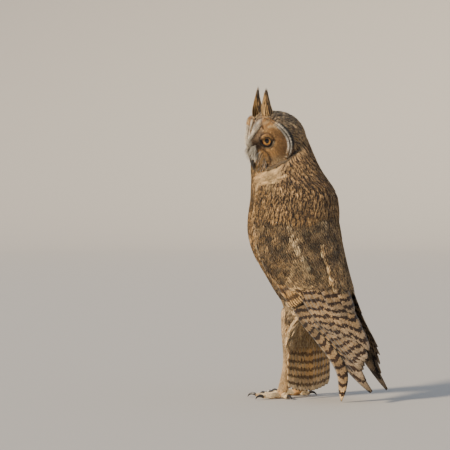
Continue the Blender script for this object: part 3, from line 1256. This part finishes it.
# %% Coverts
# places on the wing, as station and share across
OUTER_LINE = np.array([
    (0.03, 0.3), (0.06, 0.35), (0.15, 0.45), (0.23, 0.48), (0.305, 0.5), (0.39, 0.545), (0.455, 0.555),
])
SIDE_LINE = np.array([(0.39, 0.46), (0.435, 0.38), (0.505, 0.24), (0.54, 0.155)])
INNER_LINE = np.array([(0.08, 0.74), (0.12, 0.805), (0.215, 0.925), (0.3, 0.97)])
PALE_BASES = np.array([(0.415, 0.475), (0.46, 0.485), (0.49, 0.5)])


def near_line(points, line, width):
    """1 on a line over the wing and 0 beyond its width, by distance to the nearest of many points on it."""
    knots = np.linspace(0, 1, len(line))
    on_line = wing(*(np.interp(np.linspace(0, 1, 60), knots, part) for part in line.T))
    away = np.linalg.norm(points[:, None] - on_line[None], axis=-1).min(axis=1)
    return step(width, width * 0.4, away)


def coverts(side):
    """The soft feathers over the upper half of a wing."""
    share, turn = golden(COUNTS["coverts"])
    station, across = 0.56 * share, 0.01 + 0.91 * turn / TURN
    station, across = picked(station < 0.50 + 0.06 * across, station, across)
    count = len(station)
    where, ends = wing(station, across), wing(station + 0.035, across)
    ragged = 0.55 + 0.45 * (even(count) > 0.3)
    line = np.maximum(near_line(ends, OUTER_LINE, 2.4), 0.7 * near_line(ends, INNER_LINE, 2.4)) * ragged
    side_line, bases = near_line(ends, SIDE_LINE, 2.6), near_line(ends, PALE_BASES, 5.0)
    pale = np.maximum(np.maximum(line, side_line), bases)
    chance = even(count)
    blotch = np.maximum(0.75 * (chance > 0.82), 0.85 * step(0.5, 0.62, drifts(where, 5.0, 8))) * (1 - line)
    lit = step(0.5, 0.38, drifts(where, 7.0, 9)) * 0.4
    ground = layered(GREY, (0.55 + 0.3 * step(0.5, 0.1, across), GOLD), (0.3 * chance, OCHRE), (lit, BUFF),
                     (blotch, DARK), (line * 0.8, layered(BUFF, (0.5, CREAM))), (side_line * 0.7, BUFF),
                     (bases * 0.8, BUFF))
    streak = np.clip(0.12 + 0.12 * bell(count), 0, 0.5) * (1 - pale)
    looks = looks_of(count, ground, layered(DARK, (pale * 0.6, BROWN)), layered(BUFF, (0.7 * chance, CREAM)),
                     streak, 2.6, 0.55 * (1 - pale), 0.6 - 0.4 * pale, 0.65, 0.2)
    places = columns(station, across)
    return lay(f"covert_feathers_{SIDES[side]}", wing, places, columns(1.0, 0.1 * bell(count) + 0.12),
               15 + 5 * across, 4.3 + 0.8 * across, looks, places, rise=0.8 + 0.4 * line, fan=4, mirror=side)


for side in SIDES:
    dress(coverts(side), PLUMAGE, "wing")

# %% [markdown]
# The mantle runs from the nape down between the wings to the rump.

# %% Mantle
UPPER_BACK = 7  # rows of the wing's back edge above the rump
# height, y, half width of the back, from the rump up to the nape
BACK = np.concatenate([WING_BACK[:UPPER_BACK, [3, 2, 1]] + (0, 0, 14), RUMP[1:, [3, 2, 1]] + (0, 0, 5)])[::-1]


def saddle(across, height):
    """The back between the wings: from the wings' back edges it bulges out a little behind."""
    y, half = apart(smooth(height, BACK))
    return columns(across * half, y + 1.0 - 9 * across**2, height)


def mantle():
    """Boldly streaked feathers down the back, and plainer soft ones on the rump."""
    share, turn = golden(COUNTS["mantle"])
    count = len(share)
    height, across = 264 - 150 * share, (turn / TURN * 2 - 1) * 0.97
    rump = step(150, 125, height)
    shadow = step(0.48, 0.6, drifts(saddle(across, height), 6.0, 12)) * 0.7 * (1 - rump)
    ground = layered(GOLD, (0.6 * even(count), GREY), (rump * 0.6, BUFF), (shadow, DARK))
    looks = looks_of(count, ground, DARK, layered(BUFF, (0.5, CREAM)), 0.2 - 0.12 * rump, 2.6, 0.5, 0.5, 0.65,
                     0.2)
    return lay("mantle_feathers", saddle, columns(across, height), columns(0.1 * bell(count), -1.0), 19.0,
               5.2, looks, columns(across / 2 + 0.5, share), outside=-1.0)


dress(mantle(), PLUMAGE, "plumage")

# %% [markdown]
# ## The tail
# Twelve barred feathers, the middle pair on top, and soft coverts over their roots before and behind.

# %% Tail feathers
TAIL_FEATHERS, TAIL_VANE = 12, 6.4


def tail_turn(share):
    """The tail's turn about the vertical, which grows over its first third."""
    return -TAIL_YAW * np.minimum(1, 3 * share)


def tail_feathers():
    """The fan of twelve, each a long parallel blade with bars."""
    place = ((np.arange(TAIL_FEATHERS) + 0.5) * 2 / TAIL_FEATHERS - 1)[:, None]
    along = np.linspace(0, 1, 28)
    share = 0.14 + 0.86 * along
    height, centre_y, half_width, _ = smooth(share, TAIL).T
    height = height + 7.0 * place**2 * along
    aside = place * (half_width - TAIL_VANE)
    turn = tail_turn(share)
    up = columns(-np.sin(turn), np.cos(turn), 0.0) * np.ones((TAIL_FEATHERS, 1, 1))
    lift = np.interp(along, *FLIGHT_LIFT.T) * 0.6 + (1 - np.abs(place)) * 1.2
    path = columns(aside * np.cos(turn), centre_y + aside * np.sin(turn), height) + up * lift[..., None]
    ground = layered(GOLD, (0.35, OCHRE), (0.3 * np.abs(place[:, 0]), BUFF))
    looks = looks_of(TAIL_FEATHERS, ground, BROWN * 0.7, CREAM, 0.0, 9.0, 0.9, 0.35, 0.6, 0.06)
    up = leaning(up, path, VANE_LEAN * np.sign(place)[..., None])
    places = columns(place[:, 0] / 2 + 0.5, 0.5)
    return vanes("tail_feathers", path, up, TAIL_VANE, VANE, 0.06, 0.3, places, looks)


def tail_surface(around, share):
    """The tail's fleshy root and the feathers' bed, as an ellipse at each share down the tail."""
    height, centre_y, half_width, half_depth = apart(smooth(share, TAIL))
    turn = tail_turn(share)
    x, y = half_width * np.cos(around), half_depth * np.sin(around)
    back = centre_y + x * np.sin(turn) + y * np.cos(turn)
    return columns(x * np.cos(turn) - y * np.sin(turn), back, height)


def tail_coverts():
    """Soft feathers round the tail's root."""
    share, around = golden(COUNTS["tail coverts"])
    count = len(share)
    looks = looks_of(count, layered(BUFF, (0.4 * even(count), GOLD)), BROWN, CREAM, 0.1, 3.0, 0.3, 0.6, 0.6)
    return lay("tail_coverts", tail_surface, columns(around, 0.34 * share), columns(0.1 * bell(count), 1.0),
               20.0, 4.0, looks, columns(around / TURN, share), outside=-1.0, sink=2.0, rise=1.0, fan=3)


dress(tail_feathers(), FLIGHT, "tail", "tail")
dress(tail_coverts(), PLUMAGE, "tail")

# %% [markdown]
# ## Legs and feet
# The legs are feathered down to the claws, in plain buff, and the feathers get shorter towards the toes.

# %% Legs
def leg_surface(around, share):
    """The left leg's outside."""
    x, y, height, wide, deep = apart(smooth(share, LEG))
    return columns(x + wide * np.cos(around), y + deep * np.sin(around), height)


def leg_coat(side):
    """Plain buff feathers from the thigh to the foot."""
    share, around = golden(COUNTS["leg"])
    share = share**1.1 * 0.95
    count, size = len(share), 1 - 0.6 * share
    ground = layered(BUFF, (0.5 * even(count), GOLD), (0.3 * share, CREAM))
    looks = looks_of(count, ground, TAWNY, CREAM, 0.05, 2.0, 0.2, 0.25, 0.6)
    return lay(f"leg_feathers_{SIDES[side]}", leg_surface, columns(around, share),
               columns(0.12 * bell(count), 1.0), 13 * size, 3.5 * size, looks, columns(around / TURN, share),
               outside=-1.0, sink=1.8, rise=0.3, stations=4, fan=3, mirror=side)


def toe_coat(side):
    """Short hair-like feathers over the tops and sides of the toes."""
    parts = []
    for number, (heading, length) in enumerate(TOES):
        share, around = golden(COUNTS["toe"])
        around = around / TURN * math.pi * 1.2 - math.pi * 0.1
        turn = math.radians(heading)
        aside = np.array([side * math.cos(turn), math.sin(turn), 0])
        ups = np.cos(around)[:, None] * aside + np.sin(around)[:, None] * np.array([0, 0, 1.0])
        roots = toe_path(side, heading, length, share * 0.97 - 0.1) + ups * (4.5 - 1.8 * share)[:, None]
        roots[:, 2] = np.maximum(roots[:, 2], 1.0)
        ways = np.tile([side * math.sin(turn), -math.cos(turn), -0.25], (len(share), 1))
        parts.append((roots, ups, ways, columns((number + around / TURN) / 4, share)))
    roots, ups, ways, places = (np.concatenate(column) for column in zip(*parts))
    count = len(roots)
    looks = looks_of(count, layered(CREAM, (0.5 * even(count), BUFF)), TAWNY, CREAM)
    return plumes(f"toe_feathers_{SIDES[side]}", roots, ups, scattered(ways, 0.12), 4.2, 0.6, looks, places,
                  bend=14.0, sink=1.2, rise=0.1)


for side in SIDES:
    dress(leg_coat(side), PLUMAGE, "leg")
    dress(toe_coat(side), PLUMAGE, "leg")

# %% [markdown]
# ## Eyes
# Each eye is a dark ball with a sunken orange iris round the pupil, under a clear dome. Both are turned
# shapes about the line of sight. A thin dark rim of skin, the lid, lies round the almond opening. The
# hollow under the dome lets the highlight and the iris lie at different depths, which makes an eye look
# alive.

# %% Eyes
# in eye radii from the line of sight: where the pupil ends, the iris darkens, and the iris ends
PUPIL_END, IRIS_DARKENS, IRIS_END = (0.3, 0.32), (0.34, 0.54), (0.51, 0.56)
AMBER, DEEP_ORANGE, PALE_RAY = (1.0, 0.46, 0.03), (0.62, 0.14, 0.006), (1.0, 0.6, 0.1)
PUPIL_BLACK, RIM_BLACK = (0.002, 0.002, 0.002), (0.006, 0.005, 0.004)
IRIS_SINKS, RAY_COUNT = 0.9, 60.0
LID_SECTION = np.array([(0, 0.05), (0, 0.35), (0.15, 0.55), (0.4, 0.6), (0.75, 0.5), (1, 0.1), (0.5, 0.0)])


def eye_ring(side, turn):
    """Ways square to the line of sight, by the turn from the left and up."""
    level = side * eye_axes(side)[2]
    return np.cos(turn)[:, None] * level + np.sin(turn)[:, None] * np.array([0, 0, 1.0])


def turned(name, profile, side):
    """A closed shape turned about an eye's line of sight, from rows of distance ahead and radius."""
    around = np.linspace(0, TURN, 96, endpoint=False)
    centre, sight, _ = eye_axes(side)
    rings = centre + profile[:, 0, None, None] * sight + profile[:, 1, None, None] * eye_ring(side, around)
    made = put_mesh(name, *closed_tube(head_frame(*apart(rings))))
    away = np.pad(profile[:, 1], 1)[:, None] / EYE_RADIUS
    front = np.pad(profile[:, 0], 1, "edge")[:, None] / EYE_RADIUS
    layer = made.data.attributes.new("eye_place", "FLOAT_VECTOR", "POINT")
    values = columns(away * np.cos(around), away * np.sin(around), front)
    layer.data.foreach_set("vector", values.astype(np.float32).ravel())
    return welded(made)


def lid(name, side):
    """A rounded rim about the opening, lower on its upper side: a ring of sections from the ball outwards."""
    turn = np.linspace(0, TURN, 72, endpoint=False)
    centre, sight, _ = eye_axes(side)
    outer, high = side * np.cos(turn), np.sin(turn)
    opening = 33 + 4 * outer**4 + 7 * np.maximum(-outer, 0) ** 6 - 8 * np.maximum(high, 0) ** 1.5
    border = 54 + 10 * step(-0.4, -0.9, outer)
    angle = np.radians(opening[:, None] + (border - opening)[:, None] * LID_SECTION[:, 0])[..., None]
    radius = (EYE_RADIUS + LID_SECTION[:, 1])[None, :, None]
    rings = centre + radius * (sight * np.cos(angle) + eye_ring(side, turn)[:, None] * np.sin(angle))
    count, size = rings.shape[:2]
    points = head_frame(*apart(rings)).reshape(-1, 3)
    return put_mesh(name, points, outward(points, grid_faces(count + 1, size, True) % (count * size)))


def arc(ahead, radius, first, last, count):
    """Part of an ellipse, by the angle in degrees from the line of sight: ahead cos and radius sin."""
    polar = np.radians(np.linspace(first, last, count))
    return columns(ahead * np.cos(polar), radius * np.sin(polar))


ball = arc(9.0, 9.4, 48, 176, 33)
inward = np.linspace(0.02, 0.98, 14)
iris = columns(ball[0, 0] - IRIS_SINKS * (1 - inward) ** 0.8, ball[0, 1] * inward)
dome, under_dome = arc(9.9, 9.85, 3, 60, 22), arc(9.3, 9.5, 3, 60, 22)[::-1]

eye_paint, tree = material("iris and pupil", Roughness=0.35)
spot = attribute(tree, "eye_place")[1]
x, y, _ = node(tree, "ShaderNodeSeparateXYZ", None, spot)
away = (x * x + y * y).to("SQRT")
rays = (noise(spot, 4.0) * 6.0 + y.to("ARCTAN2", x) * RAY_COUNT).to("SINE")
orange = blend(tree, ramp(away, *IRIS_DARKENS), AMBER, DEEP_ORANGE)
orange = blend(tree, ramp(rays, -0.4, 1.0) * 0.3, orange, PALE_RAY)
with_pupil = blend(tree, ramp(away, *PUPIL_END), PUPIL_BLACK, orange)
shaded(tree, Base_Color=blend(tree, ramp(away, *IRIS_END), with_pupil, RIM_BLACK))
glass, _ = material("clear dome", Transmission_Weight=1.0, Roughness=0.0, IOR=1.336)
lid_paint, _ = material("lid", Base_Color=(*BLACK, 1), Roughness=0.45)
for side, name in SIDES.items():
    dress(turned(f"eyeball_{name}", np.concatenate([iris, ball]), side), eye_paint, "eye", f"eye_{name}")
    dress(turned(f"cornea_{name}", np.concatenate([dome, under_dome]), side), glass, "eye")
    dress(lid(f"lid_{name}", side), lid_paint, "eye")

# %% [markdown]
# ## Bill and claws
# The solids of the bill and the claws are kept. They get a dark horn, smoother facets and a soft gloss.

# %% Horn
horn, tree = material("horn", Roughness=0.32)
streaks = noise(object_place(tree), 700.0, 5.0)
shaded(tree, Base_Color=blend(tree, streaks, (0.012, 0.011, 0.011), (0.045, 0.04, 0.036)))
for name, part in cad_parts.items():
    if name.startswith(("bill", "claw")):
        part.data.materials.clear()
        part.data.materials.append(horn)
        part.data.polygons.foreach_set("use_smooth", np.ones(len(part.data.polygons), bool))
        print(name, "is horn")

# %% [markdown]
# ## The studio
# A pale round bowl makes the floor and the backdrop, so that no horizon shows behind the head. A low warm
# sun from the left does most of the lighting, as in the photo, and an open sky fills the shadows.

# %% Bowl, lights and camera
FLOOR_REACH, CORNER, WALL_TOP = 4000, 1000, 1700
AZIMUTH, ELEVATION = math.radians(122), math.radians(2)
DISTANCE, TARGET = 3.075, np.array([0.0569, -0.0911, 0.214])
SUN_STRENGTH, SUN_SIZE, SUN_COLOUR = 5.4, math.radians(8), (1.0, 0.83, 0.62)
SKY_STRENGTH, SKY_COLOUR = 0.62, (0.72, 0.82, 1.0, 1)
STONE = (0.52, 0.5, 0.46, 1)

bend = np.linspace(0.1, math.pi / 2, 14)
along = np.concatenate([
    columns(np.linspace(0.001, FLOOR_REACH, 20), 0.0),
    columns(FLOOR_REACH + CORNER * np.sin(bend), CORNER - CORNER * np.cos(bend)),
    [(FLOOR_REACH + CORNER, WALL_TOP)],
])
around = np.linspace(0, TURN, 128, endpoint=False)
out, height = along[:, :1], along[:, 1:]
points = columns(out * np.cos(around), out * np.sin(around), height).reshape(-1, 3)
bowl = put_mesh("bowl", points - SHIFT, grid_faces(len(along), len(around), True))
bowl.data.materials.append(material("bowl", Base_Color=STONE, Roughness=0.9)[0])


def put_on_set(name, data, direction):
    """An object of the studio whose -Z points along a direction."""
    made = bpy.data.objects.new(name, data)
    made.rotation_euler = Vector(direction).to_track_quat("-Z", "Y").to_euler()
    bpy.context.scene.collection.objects.link(made)
    return made


right = np.array([math.cos(AZIMUTH), math.sin(AZIMUTH), 0])
ahead = math.cos(ELEVATION)
toward = np.array([math.sin(AZIMUTH) * ahead, -math.cos(AZIMUTH) * ahead, math.sin(ELEVATION)])
light = bpy.data.lights.new("sun", "SUN")
light.energy, light.angle, light.color = SUN_STRENGTH, SUN_SIZE, SUN_COLOUR
put_on_set("sun", light, -(-0.8 * right + 0.62 * toward + np.array([0, 0, 0.5])))
world = bpy.data.worlds.new("sky")
world.use_nodes = True
sky = world.node_tree.nodes["Background"].inputs
sky["Color"].default_value, sky["Strength"].default_value = SKY_COLOUR, SKY_STRENGTH
bpy.context.scene.world = world
lens = bpy.data.cameras.new("camera")
lens.lens, lens.sensor_width = 200, 36
camera = put_on_set("camera", lens, -toward)
camera.location = TARGET + DISTANCE * toward
bpy.context.scene.camera = camera
